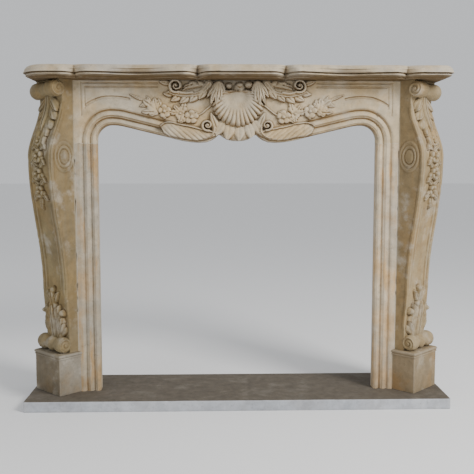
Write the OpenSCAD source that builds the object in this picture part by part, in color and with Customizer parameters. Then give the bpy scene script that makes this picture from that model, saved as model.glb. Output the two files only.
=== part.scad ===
// Carved stone fireplace surround: hearth slab, plinths, S-shaped console legs turned
// 45 degrees, moulded jambs, arched and carved frieze, and a serpentine moulded shelf.
// Millimetres. +Z is up, the front faces -Y, the origin is under the middle of the slab.

/* [Opening] */
// Clear width between the jambs
opening_w = 1065; // [900:5:1290]
// Height of the jambs, from the slab to the joint under the frieze
jamb_h = 955; // [790:5:1150]

/* [Surround] */
// Width of each jamb
jamb_w = 82; // [72:1:100]
// Thickness of the jambs and the frieze
stone_t = 50; // [40:1:60]
// Distance from the wall to the front of the jambs and frieze
surround_d = 230; // [195:5:280]
// Height of the frieze
frieze_h = 236; // [228:1:285]

/* [Legs] */
// Width of a plinth's face
plinth_w = 166; // [160:1:200]
// Height of a plinth with its cap
plinth_h = 160; // [130:1:190]
// Width of a console's face
console_w = 154; // [150:1:162]
// How far the middle of a plinth's face stands in front of the jambs
leg_reach = 10; // [5:1:25]
// Width of the plain side return behind each console, measured along the wall
return_w = 130; // [110:1:140]

/* [Shelf and hearth] */
// Height of the shelf's moulded edge
shelf_h = 46; // [40:1:60]
// Depth of the shelf at its middle
shelf_d = 355; // [325:1:358]
// How far each end of the shelf stops short of the end of the slab
shelf_setback = 5; // [0:1:15]
// Thickness of the hearth slab
slab_h = 40; // [30:1:60]
// Depth of the hearth slab
slab_d = 360; // [360:5:420]
// Width of slab that shows outside each plinth's block
slab_margin = 8; // [6:1:40]

/* [Carving] */
// Radius of the shell, from its hinge to its rim
shell_r = 136; // [120:1:150]
// Number of ribs on the shell
shell_ribs = 13; // [9:2:17]
// How far the shell's rim stands out of the frieze
shell_t = 34; // [24:1:40]
// Radius of the volute at the top of each console
volute_r = 31; // [26:1:34]
// Radius of the scroll at the foot of each console
foot_r = 30; // [25:1:34]
// Number of flowers in each console's drop
drop_flowers = 3; // [2:1:4]

/* [Hidden] */
$fn = 48;
root2 = sqrt(2);
lap = 2;                        // how far carving is let into the stone behind it
deep = 900;                     // longer than any cut has to be

// Plan: the wall is the plane y = wall_y, and leg_* is the middle of a plinth's face
wall_y = slab_d / 2;
front_y = wall_y - surround_d;
jamb_out = opening_w / 2 + jamb_w;
leg_x = jamb_out + leg_reach + console_w / root2;
leg_y = front_y - leg_reach;
slab_w = 2 * (leg_x + plinth_w / 2 / root2 + slab_margin);
return_x = jamb_out + return_w;
return_y = wall_y - (return_x - leg_x + (wall_y - leg_y) - console_w / root2);

// Heights
plinth_top = slab_h + plinth_h;
seam_z = slab_h + jamb_h;
frieze_top = seam_z + frieze_h;
console_h = frieze_top - plinth_top;

// Half turn of a cosine from a to b, for t from 0 to 1
function ease(a, b, t) = a + (b - a) * (1 - cos(180 * t)) / 2;
// Points on an arc about c, from angle a to angle b, starting at step i0 of n
function arc(c, r, a, b, n, i0 = 0) = [for (i = [i0:n]) let (w = a + (b - a) * i / n) c + r * [cos(w), sin(w)]];
// Stations of a table [position, value], read with a cosine between neighbours
function along(tab, x, i = 0) =
    i >= len(tab) - 2 || x <= tab[i + 1][0]
        ? ease(tab[i][1], tab[i + 1][1], (x - tab[i][0]) / (tab[i + 1][0] - tab[i][0]))
        : along(tab, x, i + 1);

// ---------------------------------------------------------------- carving

// Solid that follows a flat path: section points are [across, height], in clockwise order, and
// their widths are multiplied by w0 at the first point of the path, running to w1 at the last
module sweep(path, section, w0 = 1, w1 = 1) {
    n = len(path);
    m = len(section);
    function dir(i) = let (d = path[min(i + 1, n - 1)] - path[max(i - 1, 0)]) d / norm(d);
    pts = [for (i = [0:n - 1], q = section)
        let (d = dir(i), w = w0 + (w1 - w0) * i / (n - 1))
        [path[i][0] - d[1] * w * q[0], path[i][1] + d[0] * w * q[0], q[1]]];
    sides = [for (i = [0:n - 2], k = [0:m - 1]) let (j = (k + 1) % m)
        each [[m * i + k, m * i + j, m * i + m + j], [m * i + k, m * i + m + j, m * i + m + k]]];
    first = [for (k = [m - 1:-1:0]) k];
    last = [for (k = [0:m - 1]) m * (n - 1) + k];
    polyhedron(pts, concat(sides, [first, last]));
}

// Rounded ribbon, for scrolls: full width w0 at the start of the path and w1 at its end
module ribbon(path, w0, w1, t) {
    sweep(path, [[-0.5, -lap], [-0.3, t], [0.3, t], [0.5, -lap]], w0, w1);
}

// Spiral about c that starts at angle a with radius r and turns inward to r_end
function spiral(c, r, r_end, a, turn, n) =
    [for (i = [0:n]) let (f = i / n, q = r + (r_end - r) * f, w = a + turn * f) c + q * [cos(w), sin(w)]];

// A leaf with a raised midrib, along +X from its root, in the plane z = 0
module blade(l, w, t) {
    outline = [[0, 0.2 * w], [0.45 * l, 0.5 * w], [l, 0], [0.45 * l, -0.5 * w], [0, -0.2 * w]];
    hull() {
        translate([0, 0, -lap]) linear_extrude(lap + 0.2 * t) polygon(outline);
        translate([0.25 * l, 0, 0]) cube([0.35 * l, 0.1, t]);
    }
}

// Acanthus leaf: pairs of side lobes fanning off a midrib
module acanthus(l, w, t, pairs) {
    blade(l, 0.42 * w, t);
    for (i = [1:pairs], side = [-1, 1])
        let (f = i / (pairs + 1))
        translate([l * (0.06 + 0.6 * f), 0, 0])
        rotate([0, 0, side * (62 - 26 * f)])
        blade(w * (0.62 - 0.2 * f), 0.3 * w, 0.8 * t);
}

// Open flower of five round petals about a button
module flower(r, t) {
    petals = [for (i = [0:14]) let (w = 24 * i) r * (0.8 + 0.2 * cos(5 * w)) * [cos(w), sin(w)]];
    translate([0, 0, -lap]) {
        linear_extrude(lap + 0.5 * t) polygon(petals);
        cylinder(r1 = 0.5 * r, r2 = 0.2 * r, h = lap + t, $fn = 6);
    }
}

// Scallop shell: ribs fanning down from a hinge, the rim a row of round ends
module shell() {
    spread = 196;
    for (i = [0:shell_ribs - 1])
        let (a = -90 - spread / 2 + spread * i / (shell_ribs - 1),
             fall = cos(0.62 * (a + 90)),
             l = shell_r * (0.62 + 0.38 * fall),
             w = 2.3 * l * sin(spread / (shell_ribs - 1) / 2))
        rotate([0, 0, a]) hull() {
            translate([8, 0, -lap]) cylinder(d = 10, h = lap + 12, $fn = 4);
            translate([l - w / 2, 0, -lap]) cylinder(d = w, h = lap + 0.55 * shell_t, $fn = 6);
            translate([0.6 * l, 0, shell_t - 1]) cube([0.3 * w, 0.3 * w, 2], center = true);
        }
}

// ---------------------------------------------------------------- frieze

// Half of the opening's head: round corner, long flat curve, then a straight fall to the apron
corner_r = 58;
crown_r = 180;
corner_rise = 13;               // straight upright below the round corner
apron_x = 262;
apron_z = 25;
corner_c = [opening_w / 2 - corner_r, corner_rise];
crown_c = corner_c + [0, corner_r - crown_r];
to_apron = [apron_x, apron_z] - crown_c;
crown_end = atan2(to_apron[1], to_apron[0]) - acos(crown_r / norm(to_apron));
// Lower edge of the carved apron, from the end of the moulding to the middle
apron_half = [[209, 13], [180, 8], [147, 5], [118, 7], [97, 15], [78, 26], [70, 36],
              [56, 28], [41, 17], [20, 13]];

// Rough opening, a little inside the finished edge wherever the moulding's own cut makes that edge
module opening_2d() {
    half = concat(head_at(-edge_cut / 2), apron_half);
    back = [for (i = [len(half) - 1:-1:0]) [-half[i][0], half[i][1]]];
    polygon(concat(half, back));
}

// Section of the moulding round the opening: [distance from the edge, depth below the front]
moulding = [[0, 14], [4, 8], [11, 5], [18, 8], [24, 14], [30, 6], [38, 1.5], [46, 4], [52, 9], [60, 1.5], [64, 0]];
moulding_w = 64;
edge_cut = 9;                   // how far the moulding's cut reaches into the opening
function sunk(s) = along(moulding, s);

// Path along the opening's edge at a distance from it, from the seam to the apron
function head_at(s) = concat([[opening_w / 2 + s, -lap]],
                             arc(corner_c, corner_r + s, 0, 90, 8),
                             arc(crown_c, crown_r + s, 90, crown_end, 3, 1),
                             [[apron_x, apron_z] + s * [cos(crown_end), sin(crown_end)]]);

// Carving on the front of the frieze: x across, y up from the seam, z out of the stone
module on_front() {
    translate([0, front_y, seam_z]) rotate([90, 0, 0]) children();
}

hinge_y = frieze_h - 41;
panel_line = 103;               // the incised curve's distance from the opening
frame_top = frieze_h - 11;
frame_x = jamb_out - 42;
frame_in = 307;
frame_low = 118;
line_w = 5;
line_depth = 3;

// Mouldings and lines cut into the right half of the frieze's front
module frieze_cuts() {
    through = stone_t + 1;
    cutter = concat([[edge_cut, 5], [edge_cut, -through], [0, -through], [0, -sunk(0)]],
                    [for (s = [5, 11, 18, 24, 31, 38, 52, 60, moulding_w]) [-s, -sunk(s)]],
                    [[-moulding_w, 5]]);
    sweep(head_at(0), cutter);
    groove = [[line_w / 2, 1], [0, -line_depth], [-line_w / 2, 1]];
    sweep(concat(arc(corner_c, corner_r + panel_line, 40, 90, 5),
                 arc(crown_c, crown_r + panel_line, 90, crown_end, 3, 1)), groove);
    sweep([[frame_in, frame_top], [frame_x + 14, frame_top]], groove);
    sweep([[frame_in, frame_top - 14], [frame_x, frame_top - 14]], groove);
    sweep([[frame_x, frame_top - 14], [frame_x, frame_low]], groove);
    sweep([[frame_x + 14, frame_top], [frame_x + 14, frame_low - 18]], groove);
}

// Scrolls, leaves and garland on the right half of the frieze's front
module frieze_scrolls() {
    // upper scroll, from beside the shell out to its eye near the top
    ribbon(spiral([231, frieze_h - 22], 46, 4, 225, -600, 14), 14, 8, 20);
    ribbon(spiral([150, frieze_h - 30], 90, 52, -95, 60, 5), 20, 14, 18);
    translate([128, 142, 0]) rotate([0, 0, 50]) acanthus(76, 64, 20, 2);
    translate([212, frieze_h - 44, 0]) rotate([0, 0, -62]) acanthus(50, 50, 16, 1);
    // lower scroll and the fluted leaf that forms the apron's edge
    ribbon(spiral([114, 66], 20, 4, -60, 420, 11), 12, 7, 22);
    for (i = [0:4]) translate([126, 58, 0]) rotate([0, 0, -118 + 28 * i]) blade(52 + 21 * i, 40, 22);
    // garland of flowers and leaves
    translate([280, 126, 0]) flower(26, 20);
    translate([176, 110, 0]) flower(20, 18);
    translate([200, 118, 0]) rotate([0, 0, 20]) blade(48, 30, 16);
    translate([300, 140, 0]) rotate([0, 0, 22]) acanthus(108, 66, 14, 2);
    translate([300, 132, 0]) rotate([0, 0, -14]) blade(74, 32, 12);
    translate([270, frieze_h - 12, 0]) rotate([0, 0, 190]) blade(34, 20, 12);
    // leaves below and beside the shell, and the roll beside its hinge
    for (i = [0:2]) translate([11 + 22 * i, 66 - 4 * i, 0]) rotate([0, 0, -90 + 20 * i]) blade(52 - 6 * i, 24, 20);
    translate([84, 150, 0]) rotate([0, 0, 28]) blade(40, 24, 18);
    translate([38, frieze_h - 16, 0]) cylinder(r = 14, h = 22, $fn = 8);
}

module frieze() {
    color("tan") {
        difference() {
            translate([-jamb_out, front_y, seam_z]) cube([2 * jamb_out, stone_t, frieze_h]);
            on_front() {
                translate([0, 0, -stone_t - 1]) linear_extrude(stone_t + 2) opening_2d();
                frieze_cuts();
                mirror([1, 0, 0]) frieze_cuts();
            }
        }
        on_front() intersection() {
            union() {
                translate([0, hinge_y, 0]) shell();
                frieze_scrolls();
                mirror([1, 0, 0]) frieze_scrolls();
                translate([0, frieze_h - 14, 0]) cylinder(r = 12, h = 26, $fn = 8);
            }
            translate([-jamb_out, 0, -stone_t]) cube([2 * jamb_out, frieze_h, 2 * stone_t]);
        }
    }
}

// ---------------------------------------------------------------- jambs

module jamb(side) {
    section = concat([for (i = [0:32]) let (s = moulding_w * i / 32)
                         [opening_w / 2 + s, front_y + sunk(s)]],
                     [[jamb_out, front_y], [jamb_out, front_y + stone_t], [opening_w / 2, front_y + stone_t]]);
    color("burlywood") scale([side, 1, 1]) translate([0, 0, slab_h]) linear_extrude(jamb_h) polygon(section);
}

// ---------------------------------------------------------------- legs

// Moves children from a leg's own axes to the right-hand leg: x along its face, -y out of it
module at_leg() {
    translate([leg_x, leg_y, 0]) rotate([0, 0, 45]) children();
}

// Plan of everything on the wall side of a leg that the jamb leaves free, plus all that lies in front
module leg_room() {
    polygon([[jamb_out, wall_y], [jamb_out, front_y], [opening_w / 2, front_y],
             [opening_w / 2, front_y - 300], [slab_w, front_y - 300], [slab_w, wall_y]]);
}

// Plan of a plinth: a block turned 45 degrees and the plain return behind it
module plinth_plan(grow) {
    intersection() {
        union() {
            translate([leg_x, leg_y]) rotate(45)
                translate([-plinth_w / 2 - grow, -grow]) square([plinth_w + 2 * grow, deep]);
            translate([jamb_out, return_y]) square([return_w + grow, wall_y - return_y]);
        }
        leg_room();
    }
}

cap_h = 21;
cap_out = 4;
// Cap of a plinth: [height of the step's bottom below the top, how far it stands out of the block]
cap_steps = [[cap_h, 3], [16, 1], [14, cap_out], [5, 0], [2, -8], [0, 0]];

module plinth() {
    translate([0, 0, slab_h]) linear_extrude(plinth_h - cap_h) plinth_plan(0);
    for (i = [0:len(cap_steps) - 2])
        translate([0, 0, plinth_top - cap_steps[i][0]])
        linear_extrude(cap_steps[i][0] - cap_steps[i + 1][0]) plinth_plan(cap_steps[i][1]);
}

// Front of a console: [height above the plinth, distance in front of the plinth's face]
console_front = [[0, -52], [56, -50], [240, -38], [735, 14], [945, -43], [1024, -30]];
console_steps = 24;
function front_at(z) = along(console_front, z * 1024 / console_h);

// Puts carving on a console's face at height z: x across, y up, z out of the stone
module on_console(z) {
    lean = atan((front_at(z + 20) - front_at(z - 20)) / 40);
    translate([0, -front_at(z), plinth_top + z]) rotate([90 + lean, 0, 0]) children();
}

volute_z = console_h - volute_r - 1;
volute_y = 28;
foot_y = 33;
// Swelling of a roll along its length: [share of the face's width, share of the radius]
roll_shape = [[0, 0.88], [0.04, 1], [0.22, 0.98], [0.28, 0.82], [0.5, 0.97], [0.72, 0.82], [0.78, 0.98],
              [0.96, 1], [1, 0.88]];

// Roll lying across a console's face, its middle at [y, z]
module roll(y, z, r) {
    translate([-console_w / 2, y, plinth_top + z]) rotate([0, 90, 0])
        rotate_extrude($fn = 11)
        polygon(concat([[0, 0]], [for (q = roll_shape) [q[1] * r, q[0] * console_w]], [[0, console_w]]));
}

module console_body() {
    profile = concat([for (i = [0:console_steps]) let (z = console_h * i / console_steps) [-front_at(z), z]],
                     [[deep, console_h], [deep, 0]]);
    translate([-console_w / 2, 0, plinth_top]) rotate([90, 0, 90]) linear_extrude(console_w) polygon(profile);
    roll(volute_y, volute_z, volute_r);
    roll(foot_y, foot_r, foot_r);
}

// Oval boss on the inner side, and the turns on the volute's ends
boss_y = 45;
boss_z = 741;

module side_carving() {
    translate([-console_w / 2, boss_y, plinth_top + boss_z * console_h / 1024]) rotate([90, 0, -90])
        for (ring = [[60, 3], [47, 6], [26, 9]])
            translate([0, 0, -lap]) scale([0.72, 1, 1])
            cylinder(r1 = ring[0] + 2, r2 = ring[0] - 3, h = lap + ring[1], $fn = 14);
    for (end = [-1, 1])
        translate([end * console_w / 2, volute_y, plinth_top + volute_z]) rotate([0, end * 90, 0])
            translate([0, 0, -lap]) cylinder(r1 = 0.62 * volute_r, r2 = 0.3 * volute_r, h = lap + 6, $fn = 8);
}

// Leaf that lies on the curved face from height z0 at its root to z1 at its tip
module hanging_leaf(z0, z1, w, t, pairs) {
    for (i = [0:pairs]) let (f = i / (pairs + 1), z = z0 + (z1 - z0) * f, tip = z1 > z0 ? 90 : -90)
        on_console(z) {
            rotate([0, 0, tip]) blade(1.3 * abs(z1 - z0) / (pairs + 1), 0.4 * w, t);
            for (side = [-1, 1]) rotate([0, 0, tip + side * (58 - 24 * f)]) blade((0.62 - 0.24 * f) * w, 0.34 * w, 0.8 * t);
        }
}

module console_carving() {
    hanging_leaf(0.94 * console_h, 0.81 * console_h, 112, 18, 2);
    // drop of flowers, each with a pair of small leaves
    for (i = [0:drop_flowers - 1]) let (z = (0.78 - 0.25 * i / drop_flowers) * console_h)
        on_console(z) {
            flower(28 - 2 * i, 16);
            for (side = [-1, 1]) rotate([0, 0, -90 + side * 40]) blade(46, 18, 10);
        }
    // raised border down each side of the face
    heights = [for (i = [0:9]) (0.2 + 0.7 * i / 9) * console_h];
    for (side = [-1, 1]) translate([side * (console_w / 2 - 9) - 3, 0, plinth_top]) rotate([90, 0, 90])
        linear_extrude(6) polygon(concat([for (z = heights) [-front_at(z) - 3, z]],
                                         [for (i = [9:-1:0]) [lap - front_at(heights[i]), heights[i]]]));
    hanging_leaf(0.215 * console_h, 0.075 * console_h, 108, 20, 2);
}

module console() {
    intersection() {
        union() {
            at_leg() {
                console_body();
                side_carving();
                console_carving();
            }
            translate([jamb_out, return_y, plinth_top]) cube([return_w, wall_y - return_y, console_h]);
        }
        translate([0, 0, plinth_top]) linear_extrude(console_h) leg_room();
    }
}

// ---------------------------------------------------------------- shelf

shelf_half = slab_w / 2 - shelf_setback;
corner_left = 110;              // radius of the left front corner, and of the right one
corner_right = 40;
lobe_shift = 13;                // how far right of the middle the lobes are centred
cusp_in = 161;                  // from there to the cusp beside the middle lobe
cusp_out = 609;                 // and to the cusp beside the end lobe
cusp_w = 52;
cusp_depth = 68;                // of the inner cusps, and of the outer ones
outer_depth = 44;
lobe_sag = 40;                  // hollow of the long side lobes
end_less = 12;                  // how much shallower the ends are than the middle
// Section of the moulded edge: [share of the height, distance back from the arris]
edge = [[0, 30], [0.1, 24], [0.22, 8], [0.33, 10], [0.39, 14], [0.43, 0], [0.7, 5], [0.88, 12], [1, 20]];
arris = 0.43;                   // share of the height at which the edge projects most
top_flat = 0.65;                // how far the top straightens the lobes and cusps

lobe_mid = (cusp_in + cusp_out) / 2;

function cusp(x, at, depth) = let (t = 1 - abs(abs(x - lobe_shift) - at) / cusp_w) t > 0 ? depth * t * t : 0;
function hollow(x) =
    let (half = (cusp_out - cusp_in) / 2 - 38, t = (abs(x - lobe_shift) - lobe_mid) / half)
    abs(t) < 1 ? lobe_sag * (1 + cos(180 * t)) / 2 : 0;
// Front of the shelf at x, at a share of its height: cusped up to the arris, straighter above
function shelf_front(x, share = 0) =
    let (wave = cusp(x, cusp_in, cusp_depth) + cusp(x, cusp_out, outer_depth) + hollow(x),
         keep = 1 - top_flat * max(0, share - arris) / (1 - arris))
    wall_y - shelf_d + end_less * min(1, pow(x / cusp_out, 2)) + keep * wave;

// Places along the front edge from left to right, closer together towards each cusp
breaks = [-shelf_half + corner_left, lobe_shift - cusp_out, lobe_shift - cusp_in, lobe_shift + cusp_in,
          lobe_shift + cusp_out, shelf_half - corner_right];
runs = [6, 14, 8, 14, 6];
stations = concat([for (k = [0:4], i = [0:runs[k] - 1]) ease(breaks[k], breaks[k + 1], i / runs[k])],
                  [breaks[5]]);
end_y = shelf_front(shelf_half);
// Outline of a layer, from the left end round the front to the right end
function front_chain(back, share = 0) = concat(
    arc([-shelf_half + corner_left, end_y + corner_left], corner_left - back, 180, 257, 6),
    [for (x = stations) [x, shelf_front(x, share) + back]],
    arc([shelf_half - corner_right, end_y + corner_right], corner_right - back, 283, 360, 6));
// and back along the wall, from the right end to the left
wall_x = [shelf_half, cusp_out, lobe_mid, cusp_in, -cusp_in, -lobe_mid, -cusp_out, -shelf_half];
function wall_chain(back) = [for (x = wall_x) [max(-shelf_half + back, min(shelf_half - back, x)), wall_y]];
// Which place on the wall is nearest behind x
function behind(x) = len([for (k = [0:len(wall_x) - 2]) if (x < (wall_x[k] + wall_x[k + 1]) / 2) k]);

// Flat end of the stack of layers: the front's points, fanned from the places behind them
function lid(first) =
    let (xs = [for (p = front_chain(0)) p[0]], n = len(xs),
         own = [for (i = [0:n - 2]) first + n + behind((xs[i] + xs[i + 1]) / 2)])
    concat([for (i = [0:n - 2]) [first + i, first + i + 1, own[i]]],
           [for (i = [1:n - 2]) if (own[i] != own[i - 1]) [first + i, own[i], own[i - 1]]]);

module shelf() {
    layers = [for (e = edge) [for (p = concat(front_chain(e[1], e[0]), wall_chain(e[1])))
        [p[0], p[1], frieze_top + e[0] * shelf_h]]];
    n = len(layers[0]);
    pts = [for (l = layers) each l];
    sides = [for (k = [0:len(layers) - 2], i = [0:n - 1]) let (j = (i + 1) % n)
        each [[k * n + i, (k + 1) * n + j, k * n + j], [k * n + i, (k + 1) * n + i, (k + 1) * n + j]]];
    top = [for (f = lid((len(layers) - 1) * n)) [f[2], f[1], f[0]]];
    color("wheat") polyhedron(pts, concat(sides, lid(0), top));
}

module hearth_slab() {
    color("darkgray") translate([-slab_w / 2, -slab_d / 2, 0]) cube([slab_w, slab_d, slab_h]);
}

module plinth_left() { color("rosybrown") mirror([1, 0, 0]) plinth(); }
module plinth_right() { color("rosybrown") plinth(); }
module console_left() { color("peru") mirror([1, 0, 0]) console(); }
module console_right() { color("peru") console(); }
module jamb_left() { jamb(-1); }
module jamb_right() { jamb(1); }

hearth_slab();
plinth_left();
plinth_right();
console_left();
console_right();
jamb_left();
jamb_right();
frieze();
shelf();
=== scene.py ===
"""Looks of a carved stone fireplace surround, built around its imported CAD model.

Every piece is a closed mesh lofted in millimetres, in the CAD's own frame, with its carving as
relief on a fine grid, and gets a procedural stone material. Sizes come from the frame's boxes, and
those that no box gives are named here, as in the CAD source.
"""

import math

import bpy
import numpy as np
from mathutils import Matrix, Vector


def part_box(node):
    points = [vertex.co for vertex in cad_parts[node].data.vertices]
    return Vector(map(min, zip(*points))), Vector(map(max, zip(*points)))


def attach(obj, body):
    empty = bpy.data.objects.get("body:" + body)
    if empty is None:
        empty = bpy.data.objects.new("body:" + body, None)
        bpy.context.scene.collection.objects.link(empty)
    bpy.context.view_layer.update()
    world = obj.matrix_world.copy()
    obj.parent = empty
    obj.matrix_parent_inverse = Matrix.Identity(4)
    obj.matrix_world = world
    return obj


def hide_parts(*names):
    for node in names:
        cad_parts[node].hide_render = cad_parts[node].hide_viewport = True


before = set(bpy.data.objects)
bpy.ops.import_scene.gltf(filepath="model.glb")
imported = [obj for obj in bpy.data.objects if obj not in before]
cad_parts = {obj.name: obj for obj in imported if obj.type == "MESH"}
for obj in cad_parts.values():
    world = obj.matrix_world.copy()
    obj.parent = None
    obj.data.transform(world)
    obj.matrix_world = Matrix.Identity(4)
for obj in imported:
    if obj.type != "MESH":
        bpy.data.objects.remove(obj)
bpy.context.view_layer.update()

MM = 0.001
# The two sides, by the sign of x
SIDES = {-1: "left", 1: "right"}


# -------- sizes, in millimetres


def cad(node):
    """Lowest and highest corner of a CAD node, in millimetres."""
    low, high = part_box(node)
    return np.array(low) / MM, np.array(high) / MM


slab_low, slab_high = cad("hearth_slab")
jamb_low, jamb_high = cad("jamb_right")
shelf_low, shelf_high = cad("shelf")
plinth_top = cad("plinth_right")[1][2]
frieze_top = cad("frieze")[1][2]

wall_y = slab_high[1]
slab_top = slab_high[2]
open_x, jamb_out = jamb_low[0], jamb_high[0]
front_y = jamb_low[1]
stone_t = jamb_high[1] - front_y
seam_z = jamb_high[2]
frieze_h = frieze_top - seam_z
console_h = frieze_top - plinth_top
shelf_h = shelf_high[2] - frieze_top
shelf_half = shelf_high[0]

# Legs, which no box gives in full: turned 45 degrees, their faces' middles at (leg_x, leg_y), which
# is LEG_REACH in front of the jambs, with a plain return RETURN_W wide behind them
ROOT2 = math.sqrt(2)
LEG_REACH = 10.0
CONSOLE_W = 154.0
PLINTH_W = 166.0
RETURN_W = 130.0
leg_x = jamb_out + LEG_REACH + CONSOLE_W / ROOT2
leg_y = front_y - LEG_REACH
return_x = jamb_out + RETURN_W


# -------- curves and relief

HASH_MAX = 0x7FFFFFFF
# The shallowest carving that still shows over what lies behind it
LEAST_CARVING = 0.4


def eased(table, x):
    """Reads a table of [position, value], with half a cosine between neighbours."""
    places = np.array([row[0] for row in table], float)
    values = np.array([row[1] for row in table], float)
    x = np.clip(np.asarray(x, float), places[0], places[-1])
    i = np.clip(np.searchsorted(places, x, side="right") - 1, 0, len(places) - 2)
    t = (x - places[i]) / (places[i + 1] - places[i])
    return values[i] + (values[i + 1] - values[i]) * (1 - np.cos(np.pi * t)) / 2


def step(x, start, end):
    """0 before start, 1 after end, smooth between."""
    t = np.clip((x - start) / (end - start), 0, 1)
    return t * t * (3 - 2 * t)


def between(x, ends):
    """1 from ends[1] to ends[2], fading to 0 at ends[0] and ends[3]."""
    return step(x, ends[0], ends[1]) * (1 - step(x, ends[2], ends[3]))


def round_off(q, power=2.0):
    """Height of a rounded top at share q of its half width: 1 in the middle and 0 at the edge."""
    return np.sqrt(np.clip(1 - np.abs(q) ** power, 0, 1))


def ridge(d, half, height, power=2.0):
    """A rounded ridge where d is 0, reaching half to each side."""
    return height * round_off(np.clip(d / half, -1, 1), power)


def coords(*axes):
    """Points from their coordinates, some of which may be plain numbers."""
    return np.stack(np.broadcast_arrays(*axes), axis=-1)


def hashed(cell):
    """A number from 0 to 1 for each cell of a grid, always the same one for the same cell."""
    x, y, z = np.moveaxis(cell, -1, 0)
    key = (x * 73856093 ^ y * 19349663 ^ z * 83492791) & HASH_MAX
    key = (key ^ (key >> 13)) & 0xFFFFFF
    key = (key * ((key * key * 15731 + 789221) & HASH_MAX) + 1376312589) & HASH_MAX
    return key / HASH_MAX


def noise(p, size, seed):
    """Smooth value noise from -1 to 1 at points p, its features about size millimetres across."""
    q = np.asarray(p, float) / size + 31.7 * seed
    cell = np.floor(q).astype(np.int64)
    f = q - cell
    f = f * f * (3 - 2 * f)
    total = np.zeros(q.shape[:-1])
    for corner in np.ndindex(2, 2, 2):
        weight = np.prod(np.where(np.array(corner) == 1, f, 1 - f), axis=-1)
        total += weight * hashed(cell + np.array(corner))
    return 2 * total - 1


def wobbled(x, y, size, seed):
    """Noise over a flat grid, for carving that isn't quite regular."""
    return noise(coords(x, y, 0.0), size, seed)


def arc(centre, r, start, end, n):
    """n + 1 points on a circle, angles in degrees."""
    w = np.radians(np.linspace(start, end, n + 1))
    return coords(centre[0] + r * np.cos(w), centre[1] + r * np.sin(w))


def spiral(centre, r0, r1, start, turn, n=60):
    """Points winding from radius r0 to r1 about centre."""
    f = np.linspace(0, 1, n + 1)
    w = np.radians(start + turn * f)
    r = r0 + (r1 - r0) * f
    return coords(centre[0] + r * np.cos(w), centre[1] + r * np.sin(w))


def curve(points, n=40):
    """A smooth path through a few points (Catmull-Rom)."""
    p = np.array(points, float)
    p = np.vstack([2 * p[0] - p[1], p, 2 * p[-1] - p[-2]])
    out = []
    for t in np.linspace(0, len(points) - 1, n + 1):
        i = min(int(t), len(points) - 2)
        f = t - i
        a, b, c, d = p[i : i + 4]
        bends = (c - a) * f + (2 * a - 5 * b + 4 * c - d) * f**2 + (3 * b - a - 3 * c + d) * f**3
        out.append(b + 0.5 * bends)
    return np.array(out)


def nearest(x, y, path):
    """Distance to a path, how far along it (0 to 1) and on which side, for every point."""
    best = np.full(x.shape, 1e9)
    place = np.zeros(x.shape)
    side = np.ones(x.shape)
    lengths = np.hypot(*np.diff(path, axis=0).T)
    before = np.concatenate([[0], np.cumsum(lengths)])
    for i, length in enumerate(lengths):
        u = (path[i + 1] - path[i]) / length
        dx, dy = x - path[i][0], y - path[i][1]
        t = np.clip(dx * u[0] + dy * u[1], 0, length)
        d = np.hypot(dx - t * u[0], dy - t * u[1])
        closer = d < best
        best = np.where(closer, d, best)
        place = np.where(closer, (before[i] + t) / before[-1], place)
        side = np.where(closer, np.sign(u[0] * dy - u[1] * dx), side)
    return best, place, side


def leaf(x, y, root, angle, length, width, height, lobes=0, bend=0.0, bare=0.35, rib=0.42):
    """A carved leaf: lobes that sweep forward, a hollow midrib and veins between the lobes.

    It points along angle, in degrees. bare is how high its root stands, as a share of its full
    height, and rib is how deep the midrib is cut, as a share of the height there.
    """
    w = math.radians(angle)
    dx, dy = x - root[0], y - root[1]
    a = (dx * math.cos(w) + dy * math.sin(w)) / length
    b = (dy * math.cos(w) - dx * math.sin(w)) / (width / 2) - bend * a * a
    half = np.sin(np.pi * np.clip(a, 0, 1) ** 0.72) ** 0.75
    notch = np.zeros(x.shape)
    if lobes:
        notch = (1 - np.abs(np.sin(np.pi * lobes * (a - 0.3 * np.abs(b) * width / length)))) ** 2
    half = half * (1 - 0.42 * notch)
    q = np.abs(b) / np.maximum(half, 0.01)
    inside = (a > 0) & (a < 1) & (q < 1)
    body = bare + (1 - bare) * np.sin(np.pi * np.clip(a, 0, 1) * 0.62)
    ribs = 1 - rib * np.exp(-((b / 0.13) ** 2)) - 0.45 * notch * np.clip(np.abs(b), 0, 1)
    return np.where(inside, height * body * ribs * round_off(q, 3.5), 0)


def leaves(x, y, table, **look):
    """Leaves from a table of [root, angle, length, width], and height where they don't share it."""
    return [leaf(x, y, *row, **look) for row in table]


def flower(x, y, centre, r, height, petals=5, turn=0.0):
    """An open flower: cupped round petals about a button."""
    dx, dy = x - centre[0], y - centre[1]
    d = np.hypot(dx, dy)
    lobe = np.abs(np.cos(petals / 2 * (np.arctan2(dy, dx) - turn)))
    q = d / (r * (0.7 + 0.3 * lobe**0.6))
    inner = np.clip(q, 0, 1)
    cup = (0.45 + 0.55 * inner**1.5) * (0.55 + 0.45 * lobe**0.5) * round_off(inner, 6)
    return height * np.where(q < 1, np.maximum(cup, ridge(d, 0.3 * r, 1.05)), 0)


def ribbon(x, y, path, w0, w1, height, flutes=0, fade=0.0):
    """A rounded band along a path, from width w0 to w1, with flutes running along it."""
    d, place, side = nearest(x, y, path)
    q = 2 * d / (w0 + (w1 - w0) * place)
    top = round_off(np.clip(q, 0, 1), 3)
    if flutes:
        top = top * (0.9 + 0.1 * np.cos(np.pi * flutes * (q * side + 1)))
    return np.where(q < 1, height * top * (1 - fade * place), 0)


def ball(x, y, centre, r, height):
    """A round boss."""
    return ridge(np.hypot(x - centre[0], y - centre[1]), r, height)


def over(base, *stamps):
    """Lays carving over a base relief, the highest winning."""
    for stamp in stamps:
        base = np.where(stamp > LEAST_CARVING, np.maximum(base, stamp), base)
    return base


# -------- meshes

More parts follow.
